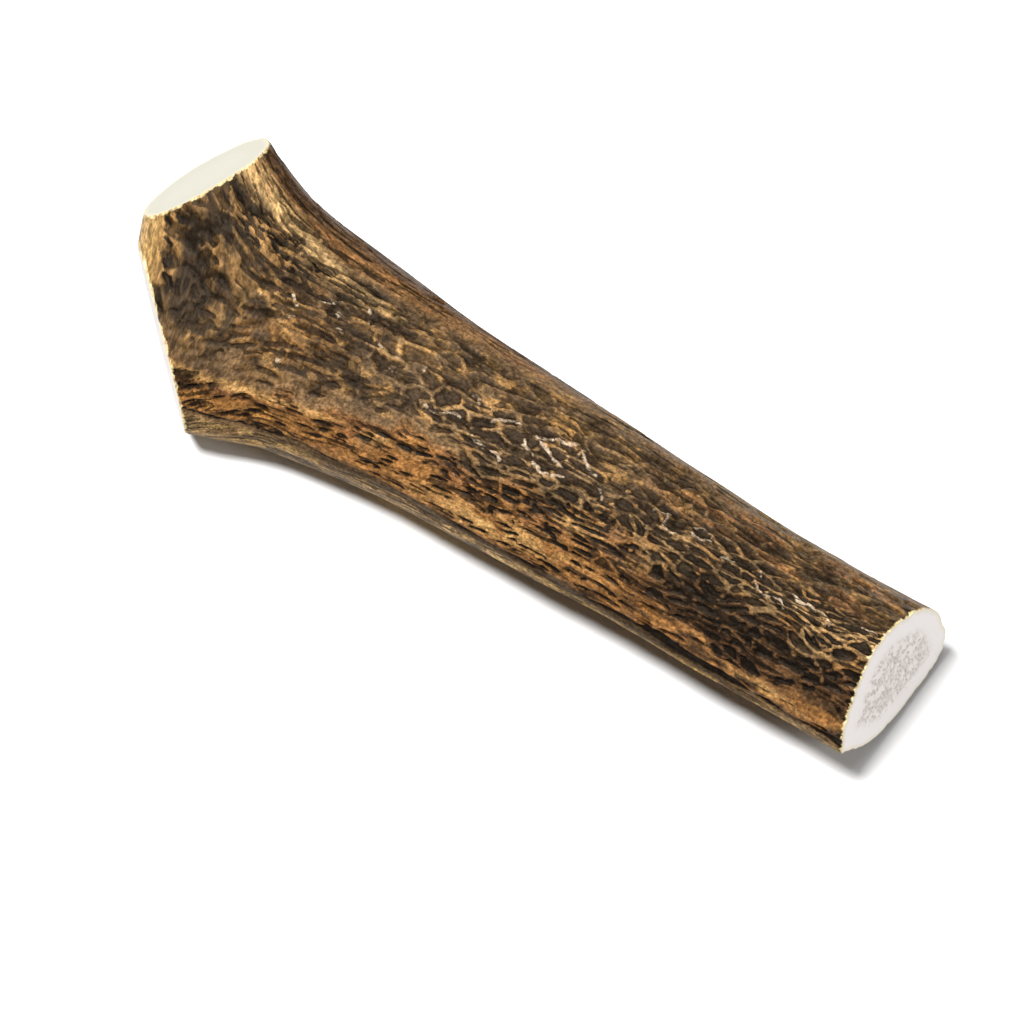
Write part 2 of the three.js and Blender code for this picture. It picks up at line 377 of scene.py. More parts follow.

# Pale ridges that stand out, partly pale bark and partly painted glints: x and turn of the
# points each one runs through.
PALE_RIDGES_AND_GLINTS = (
    ((6.2, 0.236), (8.5, 0.248), (10.5, 0.257), (12.3, 0.262)),
    ((0.8, 0.266), (2.5, 0.264), (4.2, 0.260), (3.4, 0.250)),
    ((4.2, 0.260), (6.5, 0.270), (8.3, 0.282), (9.5, 0.289), (10.5, 0.286)),
    ((11.5, 0.286), (13.5, 0.280)),
    ((-10.0, 0.215), (-8.5, 0.218), (-7.8, 0.226)),
    ((-16.5, 0.266), (-14.0, 0.268), (-12.0, 0.260), (-9.5, 0.256)),
    ((-5.5, 0.280), (-3.5, 0.286), (0.3, 0.289), (1.5, 0.301)),
    ((13.5, 0.222), (15.5, 0.232), (17.0, 0.243), (18.5, 0.246)),
    ((24.8, 0.245), (26.0, 0.255), (27.0, 0.262)),
    ((-3.8, 0.245), (-3.0, 0.236), (-1.5, 0.228), (1.0, 0.228)),
    ((5.0, 0.232), (8.0, 0.222), (12.0, 0.214), (14.5, 0.213)),
    ((19.5, 0.262), (21.0, 0.272), (22.0, 0.283)),
    ((31.0, 0.252), (34.2, 0.243), (34.0, 0.268), (36.0, 0.278), (37.5, 0.268)),
    ((39.2, 0.238), (41.0, 0.232), (42.8, 0.236), (43.4, 0.248), (41.5, 0.258), (39.6, 0.252)),
    ((46.5, 0.268), (49.0, 0.262)),
    ((54.0, 0.275), (55.5, 0.289), (58.0, 0.291), (60.0, 0.282), (61.2, 0.292)),
    ((61.3, 0.262), (63.0, 0.269), (65.0, 0.264), (68.0, 0.268), (70.0, 0.283)),
    ((54.0, 0.246), (54.8, 0.260)),
    ((75.0, 0.256), (78.0, 0.250)),
    ((-49.0, 0.205), (-47.2, 0.209)),
    ((-47.6, 0.228), (-46.9, 0.226)),
    ((-38.6, 0.214), (-37.2, 0.219)),
    ((-31.0, 0.205), (-29.2, 0.212), (-27.9, 0.211)),
    ((-26.5, 0.232), (-24.8, 0.238)),
    ((-54.6, 0.222), (-53.8, 0.220)),
    ((-45.9, 0.283), (-45.3, 0.283)),
    ((-43.5, 0.192), (-40.5, 0.176)),
    ((-40.1, 0.193), (-39.5, 0.194)),
    ((-35.4, 0.165), (-34.9, 0.170)),
    ((-34.2, 0.188), (-33.6, 0.193)),
    ((-20.3, 0.208), (-20.2, 0.214)),
)

# Middle and half length of the stretches where the pale ridges and their painted glints are
# brightest.
BRIGHT_STRETCHES = ((7.0, 24.0), (-42.0, 15.0), (66.0, 16.0))


def patch(area, x, turn, strength=1.0):
    """Strength in the middle of a patch, falling to 0 at its edge."""
    x_middle, half_length, turn_middle, half_width = area
    return strength * bump(x, x_middle, half_length) * bump(turn, turn_middle, half_width)


def survey(x, turn):
    """How the grain runs at each place, and the noises that vary the bark there."""
    at = SimpleNamespace(x=x, turn=turn)
    at.perimeter = 2 * np.pi * mix(*RADII, ramp(*RADIUS_RUN, x))
    lean = GRAIN_LEAN * ramp(*LEAN_RUN, x) * np.clip(turn - LEAN_MIDDLE, -0.10, 0.20)
    at.flow = turn - lean
    at.sway = layered(SWAY_ROUND, x, turn) - 0.5
    at.ripple = layered(RIPPLE_ROUND, x, turn) - 0.5
    sway_along = layered(SWAY_ALONG, x, turn) - 0.5
    ripple_along = layered(RIPPLE_ALONG, x, turn) - 0.5
    at.warped_x = x + 2.6 * sway_along + 0.7 * ripple_along
    at.warped_turn = at.flow + 0.022 * at.sway + 0.004 * at.ripple
    at.grain_turn = at.flow + 0.012 * at.sway
    at.patches = layered(PATCHES, x, turn)
    at.blotches = layered(BLOTCHES, x, turn)
    at.fading = layered(FADING, x, turn)
    at.mottle = layered(MOTTLE, at.warped_x, at.warped_turn)
    at.spots = layered(SPOTS, at.warped_x, at.grain_turn)
    at.soft_turn = turn + 0.07 * (at.patches - 0.5) + 0.035 * (at.blotches - 0.5)
    at.wavy_turn = turn + GROOVE_SWAY * at.sway
    streaks = bark_cells(STREAK_CELLS, at.warped_x, at.grain_turn, at.perimeter)
    at.streak_edge, _, at.streak_cell = streaks
    return at


def add_crest(zone, at):
    """The pale crest, and a painted shade line on the bark just below it."""
    run = ramp(*CREST_RUN, at.x)
    middle = mix(*CREST_TURNS, run) + 0.010 * at.sway
    crest = bump(at.turn, middle, mix(*CREST_HALF_WIDTHS, run)) * smooth(at.blotches * 2.6)
    zone.crest = crest * mix(1.0, 0.6, run) * ramp(*CREST_FADE, at.x)
    below = bump(at.turn, middle + mix(*BELOW_CREST, run), BELOW_CREST_HALF_WIDTH)
    zone.below_crest = below * ramp(*BELOW_CREST_FADE, at.x) * smooth(2.4 * at.fading)


def add_near_side(zone, at):
    """The groove, the near flank above it, and the stripe and underside below it."""
    groove_turn = mix(*GROOVE_TURNS, ramp(*GROOVE_RUN, at.x)) + GROOVE_SWAY * at.sway
    half_width = mix(*GROOVE_HALF_WIDTHS, zone.near_end) * mix(-0.4, 1.7, at.fading)
    zone.groove_turn = groove_turn
    zone.groove = half_width - np.abs(at.turn - groove_turn) * at.perimeter
    zone.above_groove = 1 - ramp(groove_turn - 0.010, groove_turn, at.turn)
    gold_starts = mix(*GOLD_STARTS, zone.near_end)
    gold = ramp(gold_starts - 0.02, gold_starts + 0.015, at.soft_turn)
    zone.gold = gold * zone.above_groove * (1 - zone.fork)
    rusty = ramp(*RUSTY_STARTS, at.soft_turn) * zone.above_groove
    zone.rusty = rusty * (1 - zone.near_end) * (1 - 0.8 * zone.gold)
    stripe = ramp(groove_turn + 0.004, groove_turn + 0.016, at.turn)
    zone.stripe = stripe * (1 - ramp(*STRIPE_ENDS, at.turn))
    zone.under = between(at.turn, UNDER_STARTS, UNDER_ENDS)


def zones(at):
    """How much of each kind of bark there is at each place, from 0 to 1, and the groove's turn
    and how many millimetres inside it each place is."""
    x, turn, soft_turn = at.x, at.turn, at.soft_turn
    zone = SimpleNamespace()
    zone.near_end = ramp(*NEAR_END_RUN, x)
    zone.near_cut = ramp(*NEAR_CUT_RUN, x)
    zone.fork = ramp(*FORK_RUN, x)
    far_flank = 1 - ramp(*FAR_FLANK_ENDS, soft_turn) + ramp(*FAR_FLANK_STARTS, turn)
    zone.far_flank = np.clip(far_flank, 0, 1)
    zone.top = between(soft_turn, TOP_STARTS, TOP_ENDS)
    zone.fork_top = zone.fork * zone.top
    zone.beam_top = zone.top * (1 - 0.6 * zone.fork)
    zone.network = between(soft_turn, NET_STARTS, NET_ENDS) * ramp(*NET_RUN, x)
    zone.black = between(soft_turn, BLACK_STARTS, BLACK_ENDS) * zone.near_end
    zone.leather = np.clip(1.6 * patch(LEATHER, x, soft_turn), 0, 1)
    pitted = patch(ARM_PITS, x, turn, 1.8) + patch(CREST_PITS, x, turn, 1.3)
    zone.pitted = np.clip(pitted, 0, 1)
    zone.bare = patch(BARE, x, soft_turn)
    crotch = ramp(*CROTCH_RUN, x + 5 * (at.blotches - 0.5))
    zone.crotch = crotch * np.clip(1.8 * bump(turn, *CROTCH_BAND), 0, 1)
    glow = mix(0.25 * ramp(*GLOW_RUN, x), 1.0, zone.near_cut)
    glow_turn = mix(*GLOW_TURNS, zone.near_cut)
    zone.glow = glow * bump(soft_turn, glow_turn, mix(*GLOW_HALF_WIDTHS, zone.near_cut))
    add_near_side(zone, at)
    add_crest(zone, at)
    return zone


# ---- the bark's hollows, lines and relief ---------------------------------------------------

def in_cell(edge, near, wall, size, steepness):
    """Millimetres inside the hollow of a cell, negative outside it."""
    return np.minimum(edge - wall, (size - near) * steepness)


def close_some(inside, cell, share, drop):
    """Lifts the hollows of the cells whose own number is above a share."""
    return inside - drop * smooth((cell - share) * SHARE_STEEPNESS + 0.5)


def round_hollows(at, zone):
    """Round cells with raised edges, wider and shallower on the leathery part of the beam."""
    place = (at.warped_x, at.warped_turn, at.perimeter)
    edge, near, cell = bark_cells(NET_CELLS, *place)
    wide_edge, wide_near, _ = bark_cells(WIDE_CELLS, *place)
    leathery = smooth(2 * zone.leather - 0.5)
    inside = in_cell(edge, near, *NET_HOLLOW)
    inside = mix(inside, in_cell(wide_edge, wide_near, *WIDE_HOLLOW), leathery)
    share = 0.80 * zone.top + 0.95 * zone.network + 0.9 * zone.black + 0.3 * zone.far_flank
    share = np.clip(share - 0.35 * zone.glow * zone.near_cut, 0, 1)
    return close_some(inside, cell, share, 2.0), mix(edge, wide_edge, leathery)


def lens_hollows(at):
    """Long hollows with pointed ends."""
    edge, near, cell = bark_cells(LENS_CELLS, at.warped_x, at.grain_turn, at.perimeter)
    size = mix(*LENS_SIZES, cell * 3 % 1)
    inside = in_cell(edge, near, LENS_WALL, size, LONG_STEEPNESS)
    return close_some(inside, cell, LENS_SHARE, 2.0)


def slot_hollows(at):
    """Short, narrow and close hollows, as beside the sawn arms."""
    turn = at.flow + 0.010 * at.sway
    edge, near, cell = bark_cells(SLOT_CELLS, at.warped_x, turn, at.perimeter)
    size = mix(*SLOT_SIZES, cell * 5 % 1)
    inside = in_cell(edge, near, SLOT_WALL, size, LONG_STEEPNESS)
    return close_some(inside, cell, SLOT_SHARE, 2.0)


def small_hollows(at):
    edge, near, cell = bark_cells(SMALL_CELLS, at.warped_x, at.warped_turn, at.perimeter)
    return close_some(in_cell(edge, near, *SMALL_HOLLOW), cell, SMALL_SHARE, 1.5)


def hollows(at, zone):
    """Millimetres inside a hollow, the distance to the net's edges, and how dark hollows are."""
    round_ones, edge = round_hollows(at, zone)
    long_ones = zone.gold + zone.rusty + ramp(*LENS_RUN, at.x) + zone.crotch + zone.stripe
    long_ones = np.clip(long_ones + zone.under, 0, 1)
    hollow = mix(round_ones, lens_hollows(at), long_ones)
    hollow = mix(hollow, slot_hollows(at), smooth(2.2 * zone.pitted - 0.4))
    everywhere = np.clip(zone.top + zone.network + 0.6 * zone.gold + 0.7 * zone.rusty, 0, 1)
    hollow = np.maximum(hollow, mix(-1.0, small_hollows(at), everywhere))
    hollow = hollow - 1.5 * (zone.stripe * (1 - ramp(0.520, 0.545, at.turn)) + zone.crotch)
    hollow = np.clip(np.maximum(hollow, zone.groove), -2.0, 1.2)

    dark = 0.62 * zone.top + 0.9 * zone.network + zone.black + 0.85 * zone.gold
    dark = dark + 0.95 * zone.rusty + 0.45 * zone.far_flank
    dark = dark * (1 - 0.5 * zone.bare) + 0.15 * zone.leather + 0.4 * zone.crotch + zone.pitted
    dark = dark + 0.6 * (zone.under + zone.stripe * ramp(0.510, 0.550, at.turn))
    return hollow, edge, np.clip(np.maximum(dark, smooth(zone.groove + 1)), 0, 1)


def streaks_and_creases(at, zone):
    """Millimetres inside a dark streak along the grain or a crease of the fork."""
    share = 0.55 * zone.far_flank + 0.8 * zone.black + 0.24 * zone.gold + 0.38 * zone.rusty
    share = share + 0.55 * zone.stripe + 0.4 * zone.under + 0.45 * zone.top + 0.3 * zone.network
    inside = np.minimum(at.streak_edge - 0.12, 0.5)
    streak = close_some(inside, at.streak_cell, np.clip(share, 0, 1), 1.5)
    turn = at.flow + 0.020 * at.sway
    crease_edge, _, _ = bark_cells(CREASE_CELLS, at.warped_x, turn, at.perimeter)
    crease = 0.55 - crease_edge - 0.9 * (1 - smooth(4 * at.blotches - 1.0)) - 0.35 * zone.bare
    creased = np.clip(zone.fork * (zone.top + zone.rusty) + 0.3 * zone.top, 0, 1)
    return np.maximum(streak, mix(-1.0, crease, creased)) - zone.crotch


def pale_ridges_and_glints(at):
    """Millimetres to the pale ridges, which also carry painted glints, and more where they fade.
    """
    turn = at.flow + 0.012 * at.ripple
    pale = distance_to_lines(at.x, turn, at.perimeter, PALE_RIDGES_AND_GLINTS)
    dull = 1.0
    for middle, half in BRIGHT_STRETCHES:
        dull = dull - bump(at.x, middle, half)
    return pale + 0.40 * (1 - smooth(2.2 * at.blotches)) + 0.10 * dull


def net_ridges(at, zone):
    """How much lighter the edges of the net are."""
    ridge = np.clip(0.25 + zone.leather, 0, 1) * above(at.fading, 0.30, 4)
    return ridge * (zone.top + zone.network) * (1 - 0.7 * zone.glow)


def dash_share(zone):
    """How much of the bark is covered by fine dark dashes."""
    share = 0.50 * zone.beam_top + 0.35 * zone.network + 0.5 * zone.black + 0.18 * zone.gold
    share = share + 0.3 * zone.rusty + 0.5 * zone.crest - 0.3 * zone.crotch
    share = share + 0.45 * zone.far_flank + 0.40 * zone.stripe + 0.2 * zone.under
    return np.clip(share, 0, 1)


def relief(at, zone, hollow, streak, pale):
    """How many millimetres the bark lies inside the grown form."""
    cosine = np.cos(2 * np.pi * at.turn)
    far_wear = 1 - FLANK_WEAR * np.maximum(cosine, 0) ** FLANK_WEAR_POWER
    lumps = LUMP_DEPTH * noise(at.x / LUMP_RUN, at.turn, LUMPS_ROUND, LUMP_SEED) * far_wear
    lumps = lumps * (1 - patch(EVEN_SIDE, at.x, at.turn, 0.75))
    furrows = layered(FURROWS, at.x, at.grain_turn) * (1 - 0.8 * zone.under) * far_wear
    fork_furrows = layered(FORK_FURROWS, at.warped_x, at.warped_turn)
    furrows = mix(furrows, fork_furrows, zone.fork_top)
    sunk = HOLLOW_DEPTH * smooth((hollow + 0.1) / 0.6) * mix(1.0, 0.7, zone.fork_top)
    depth = SKIN + lumps + sunk + FURROW_DEPTH * furrows
    streaks = mix(*STREAK_DEPTHS, zone.fork_top) * smooth((streak + 0.05) / 0.35)
    depth = depth + streaks * (1 - 0.5 * zone.stripe - 0.5 * zone.under)
    depth = depth + BLOTCH_DEPTH * at.blotches * zone.top
    raised = PALE_RIDGE_HEIGHT * np.exp(-((pale / PALE_RIDGE_HALF_WIDTH) ** 2))
    return depth - np.minimum(raised, depth - SKIN)


# ---- the bark's colours ---------------------------------------------------------------------

def srgb(r, g, b):
    """A screen colour, 0 to 255, as linear light."""
    c = np.array((r, g, b)) / 255.0
    return np.where(c <= 0.04045, c / 12.92, ((c + 0.055) / 1.055) ** 2.4)


PIT = srgb(22, 16, 11)
UMBER = srgb(52, 40, 28)
DARK = srgb(80, 64, 45)
BROWN = srgb(108, 84, 58)
RUST = srgb(130, 88, 52)
AMBER = srgb(152, 106, 56)
OCHRE = srgb(156, 114, 66)
GOLD = srgb(186, 144, 88)
# CREAM is the pale ridges' colour and their painted glints; a little of it also lightens the
# golden net by the beam's cut.
CREAM = srgb(216, 192, 162)
TAN = srgb(162, 130, 80)
OLIVE = srgb(120, 102, 64)
STRAW = srgb(204, 168, 114)
RIDGE = srgb(164, 134, 96)
CUT_EDGE = srgb(222, 202, 150)
IVORY = srgb(242, 235, 232)
# A darker, yellower copy of IVORY: partly the bone's own yellowing, partly painted shade.
SHADED_YELLOW_IVORY = srgb(196, 193, 178)
CORE = srgb(232, 222, 214)
BRIM = srgb(224, 212, 176)
PORE = srgb(208, 198, 190)


# Each of the next functions gives coats of colour, first to last: a colour, and how much of it
# covers the coats before it.

def top_coats(at, zone):
    # Painted shade: UMBER in the valley on top of the fork's web, between the two arms.
    shade = ramp(*SHADE_RUN, at.x + 12 * (at.blotches - 0.5)) * bump(at.soft_turn, *SHADE_BAND)
    shade = np.clip(2.2 * shade, 0, 1) * smooth(4.0 * at.fading)
    golden = zone.pitted * (1 - ramp(-76.0, -71.0, at.x) * ramp(0.185, 0.205, at.turn))
    return (
        (DARK, 0.8 * zone.top),
        (mix(DARK, BROWN, 0.7), 0.8 * zone.leather),
        (UMBER, 0.95 * zone.fork_top * above(at.mottle, 0.36, 8, 0.4)),
        (RUST, 0.5 * zone.fork_top * smooth((0.40 - at.mottle) * 6)),
        (UMBER, 0.9 * shade),
        (mix(OCHRE, GOLD, 0.4), 0.9 * golden * (1 - above(at.mottle, 0.55, 6))),
        # Painted shade of the crest on the bark just below it.
        (UMBER, 0.85 * zone.below_crest),
    )


def far_flank_coats(at, zone):
    far_flank = zone.far_flank
    return (
        (RUST, 0.7 * far_flank * above(at.patches, 0.35, 4)),
        (AMBER, 0.55 * far_flank * bump(at.x, -26.0, 44.0)),
        (mix(OLIVE, DARK, 0.25), 0.8 * far_flank * ramp(*OLIVE_RUN, at.x)),
    )


def spot_coats(at, zone):
    spotted = 0.75 * zone.beam_top * (1 - 0.45 * zone.near_end)
    return (
        (mix(RUST, TAN, 0.6), spotted * above(at.spots, 0.46, 7)),
        (mix(OCHRE, GOLD, 0.3), spotted * above(at.spots, 0.58, 8)),
        (RUST, 0.8 * zone.top * zone.near_end * above(at.streak_cell, 0.74, 9)),
        (OCHRE, 0.95 * zone.bare * above(at.blotches, 0.34, 5)),
        (GOLD, 0.6 * zone.bare * above(at.spots, 0.52, 7)),
    )


def net_coats(at, zone):
    amber = zone.network * above(at.blotches, 0.50, 5) * (1 - 0.5 * zone.leather)
    return (
        (mix(BROWN, TAN, 0.25), zone.network * (1 - 0.7 * zone.leather)),
        (AMBER, 0.6 * amber),
        (mix(UMBER, RUST, 0.38), 0.9 * zone.black),
    )


def near_flank_coats(at, zone):
    return (
        (RUST, zone.rusty),
        (AMBER, 0.8 * zone.rusty * above(at.blotches, 0.40, 5)),
        (GOLD, 0.7 * zone.rusty * above(at.fading, 0.52, 6) * (1 - zone.fork)),
    )


def near_arm_coats(at, zone):
    amber = zone.fork * bump(at.wavy_turn, *ARM_AMBER_BAND) * zone.above_groove
    dark = zone.fork * bump(at.wavy_turn, *ARM_DARK_BAND) * smooth(2.4 * at.blotches)
    gold = zone.fork * bump(at.wavy_turn, *ARM_GOLD_BAND) * smooth(2.6 * at.fading)
    return (
        (AMBER, 0.95 * amber),
        (mix(UMBER, RUST, 0.4), 0.65 * dark),
        (GOLD, 0.8 * gold),
    )


def golden_coats(at, zone):
    gilt = patch(MIDDLE_GILT, at.x, at.turn) + patch(END_GILT, at.x, at.turn)
    return (
        (mix(RUST, AMBER, 0.6), zone.gold),
        (GOLD, 0.9 * zone.gold * gilt * above(at.spots, 0.25, 4)),
        (UMBER, 0.8 * zone.gold * zone.near_end * above(at.spots, 0.54, 8)),
        (UMBER, patch(DARK_CORNER, at.x, at.wavy_turn, 0.9)),
    )


def crest_and_glow_coats(at, zone):
    # Painted shade: UMBER darkens the far (+Y) side up to about turn 0.07 and round under it,
    # where the bark faces away from the lights; stronger on the fork than on the beam.
    painted_far_shade = 1 - ramp(0.055, 0.085, (at.turn + 0.5) % 1.0 - 0.5)
    return (
        (mix(GOLD, STRAW, 0.75), 0.95 * zone.crest),
        (mix(GOLD, CREAM, 0.12), 0.95 * zone.glow),
        (RUST, 0.7 * zone.far_flank * above(at.streak_cell, 0.70, 9)),
        (UMBER, painted_far_shade * mix(0.65, 0.4, ramp(-30.0, 40.0, at.x))),
    )


def lower_coats(at, zone):
    dark_stripe = zone.stripe * bump(at.x, 44.0, 34.0) * (1 - ramp(0.486, 0.500, at.turn))
    lower = np.clip(zone.stripe + zone.under, 0, 1)
    band = bump(at.wavy_turn, zone.groove_turn + 0.009, 0.019) * ramp(*BAND_RUN, at.x)
    band = band * smooth(3.0 * at.fading) * (1 - 0.6 * ramp(50.0, 66.0, at.x))
    return (
        (TAN, zone.stripe),
        (STRAW, 0.6 * zone.stripe * bump(at.x, -4.0, 32.0)),
        (UMBER, 0.8 * dark_stripe),
        (BROWN, zone.under),
        (mix(DARK, RUST, 0.3), 0.7 * lower * above(at.spots, 0.48, 6)),
        (mix(PIT, UMBER, 0.6), 0.85 * band),
        (mix(GOLD, OLIVE, 0.5), zone.crotch),
    )


GROUND_COATS = (top_coats, far_flank_coats, spot_coats, net_coats, near_flank_coats,
                near_arm_coats, golden_coats, crest_and_glow_coats, lower_coats)


def hollow_coats(zone):
    lower = np.clip(zone.stripe + zone.under, 0, 1)
    upper = np.clip(zone.top + zone.far_flank, 0, 1)
    return (
        (UMBER, 0.35 * upper * (1 - zone.fork)),
        (UMBER, 0.6 * zone.leather * (1 - zone.fork)),
        (UMBER, lower * (zone.groove < -0.5)),
    )


def paint(colour, coats):
    """Lays coats of colour over one colour, and adds full opacity."""
    shape = coats[0][1].shape
    painted = np.broadcast_to(colour, shape + (3,))
    for coat, share in coats:
        painted = mix(painted, coat, np.clip(share, 0, 1)[..., None])
    return np.dstack([painted, np.ones(shape)])


def bark(x, turn):
    """Depth in millimetres of the bark, and what its material needs to colour it."""
    at = survey(x, turn)
    zone = zones(at)
    hollow, edge, darkness = hollows(at, zone)
    streak = streaks_and_creases(at, zone)
    pale = pale_ridges_and_glints(at)
    around = 2 * np.pi * (at.flow + 0.010 * at.sway)
    ground = [coat for coats in GROUND_COATS for coat in coats(at, zone)]
    fields = {
        "ground": paint(BROWN, ground),
        "inside": paint(PIT, hollow_coats(zone)),
        "hollows": np.stack([hollow, edge, darkness], axis=-1),
        "lines": np.stack([streak, pale, net_ridges(at, zone)], axis=-1),
        "grain": np.stack([x, 17 * np.cos(around), 17 * np.sin(around)], axis=-1),
        "dashes": dash_share(zone)[..., None],
    }
    return relief(at, zone, hollow, streak, pale), fields


# ---- the uncut mesh -------------------------------------------------------------------------

def ring_places():
    """x of each ring, closer together where the web rounds off."""
    tip = np.arange(0.5, WEB_RINGS) / WEB_RINGS
    rounded = WEB_TIP + WEB_ROUND_THICK * (1 - np.cos(tip * np.pi / 2))
    straight = np.arange(WEB_TIP + WEB_ROUND_THICK + RING_STEP, BEAM_END, RING_STEP)
    return np.concatenate([rounded, straight])


def turn_places():
    """turn of each row, closer together over the top than underneath."""
    top = np.linspace(*TOP_TURNS, TOP_STEPS, endpoint=False)
    under = np.linspace(TOP_TURNS[1], TOP_TURNS[0] + 1.0, UNDER_STEPS, endpoint=False)
    return np.concatenate([top, under]) % 1.0


def distance_to_cut(points, mount):
    """Millimetres from the flat face at a mount, for points that are in millimetres."""
    axis = np.array(Vector(mount["axis"]).normalized())
    return (np.array(mount["pos_m"]) / MM - points) @ axis


def store(mesh, name, values):
    """Keeps one, three or four numbers for each vertex."""
    kinds = {1: ("FLOAT", "value"), 3: ("FLOAT_VECTOR", "vector"), 4: ("FLOAT_COLOR", "color")}
    kind, key = kinds[values.shape[-1]]
    attribute = mesh.attributes.new(name, kind, "POINT")
    attribute.data.foreach_set(key, np.asarray(values, np.float32).ravel())


def bark_mesh(set_down, mounts):
    """The uncut bark, with its colour and grain stored on its vertices."""
    x, turn = np.meshgrid(ring_places(), turn_places(), indexing="ij")
    depth, fields = bark(x, turn)
    points = bark_point(x, turn, depth) + set_down
    points[..., 2] = np.maximum(points[..., 2], FLOOR_GAP)
    rings, rows = x.shape
    ring, row = np.meshgrid(np.arange(rings - 1), np.arange(rows), indexing="ij")
    here, beside = ring * rows + row, ring * rows + (row + 1) % rows
    quads = np.stack([here, beside, beside + rows, here + rows], axis=-1).reshape(-1, 4)
    first = np.arange(rows)[::-1]
    last = (rings - 1) * rows + np.arange(rows)
    mesh = bpy.data.meshes.new("antler_bark")
    faces = quads.tolist() + [first.tolist(), last.tolist()]
    mesh.from_pydata(points.reshape(-1, 3) * MM, [], faces)
    rim = [distance_to_cut(points, mount) for mount in mounts.values()]
    fields["rim"] = np.minimum.reduce(rim)[..., None]
    for name, values in fields.items():
        store(mesh, name, values)
    return mesh


# ---- the sawn faces -------------------------------------------------------------------------

CORE_STEP = 0.30
ROW_STEP = 0.866  # between the rows of the core's triangular grid, in steps
CORE_JITTER = 0.3
RING_WIDTH = 4.7
CORE_FADE = 3.2
PORE_SIZE = 0.80
PORE_DEPTH = 0.30
PORE_COLUMNS = 400
RIM_GAP = 0.35  # from the bark to the first points inside
BRIM_WIDTH = 1.1
FIRST_CAP_SEED = 100
CAP_SEED_STEP = 10

# How open the pores of the core are on each sawn face, from 0 to 1.
SPONGY = {"beam_cut": 1.0, "far_arm_cut": 0.15, "near_arm_cut": 0.3}

# How much each sawn face takes the darker, yellower ivory, from 0 to 1: partly the bone's own
# yellowing and partly painted shade, a darker copy of the bone colour, most of all on the far
# arm's face, which looks up into the lights.
YELLOWED_AND_SHADED = {"beam_cut": 0.0, "far_arm_cut": 1.0, "near_arm_cut": 0.5}

CAP_LAYERS = ("core", "pore", "yellow_and_shade", "brim")


def loop_of(edges):
    """The vertices of a closed line of edges, in order."""
    beside = {}
    for edge in edges:
        a, b = edge.verts
        beside.setdefault(a, []).append(b)
        beside.setdefault(b, []).append(a)
    start = edges[0].verts[0]
    line, before, here = [start], None, start
    while True:
        onward = beside[here][0] if beside[here][0] is not before else beside[here][1]
        if onward is start:
            return line
        line.append(onward)
        before, here = here, onward


def inside_depth(points, outline):
    """Distance of each point to the outline, negative outside it."""
    a, b = outline, np.roll(outline, -1, axis=0)
    ab = b - a
    ap = points[:, None, :] - a[None]
    t = np.clip((ap * ab).sum(-1) / np.maximum((ab ** 2).sum(-1), 1e-12), 0, 1)
    distance = np.linalg.norm(ap - t[..., None] * ab, axis=-1).min(axis=1)
    crosses = (a[:, 1] > points[:, None, 1]) != (b[:, 1] > points[:, None, 1])
    rise = np.where(np.abs(ab[:, 1]) < 1e-12, 1e-12, ab[:, 1])
    at = a[:, 0] + (points[:, None, 1] - a[:, 1]) / rise * ab[:, 0]
    inside = (crosses & (points[:, None, 0] < at)).sum(axis=1) % 2 == 1
    return np.where(inside, distance, -distance)


def cap_points(outline, seed):
    """Points inside a sawn face, close together on its core, and their depths inside it."""
    low, high = outline.min(axis=0), outline.max(axis=0)
    columns = np.arange(low[0], high[0], CORE_STEP)
    rows = np.arange(low[1], high[1], CORE_STEP * ROW_STEP)
    px, py = np.meshgrid(columns, rows)
    px = px + 0.5 * CORE_STEP * (np.arange(len(rows)) % 2)[:, None]
    i, j = np.meshgrid(np.arange(len(columns)), np.arange(len(rows)))
    px = px + CORE_JITTER * CORE_STEP * (scatter(i, j, seed) - 0.5)
    py = py + CORE_JITTER * CORE_STEP * (scatter(i, j, seed + 1) - 0.5)
    points = np.stack([px.ravel(), py.ravel()], axis=-1)
    inner = inside_depth(points, outline)
    every_third = ((i + j) % 3 == 0).ravel()
    keep = (inner > RING_WIDTH * 0.6) | ((inner > RIM_GAP) & every_third)
    return points[keep], inner[keep]


def mark(vert, layers, values):
    """Stores what the sawn bone's material needs on a vertex."""
    for layer, value in zip(layers, values):
        vert[layer] = value


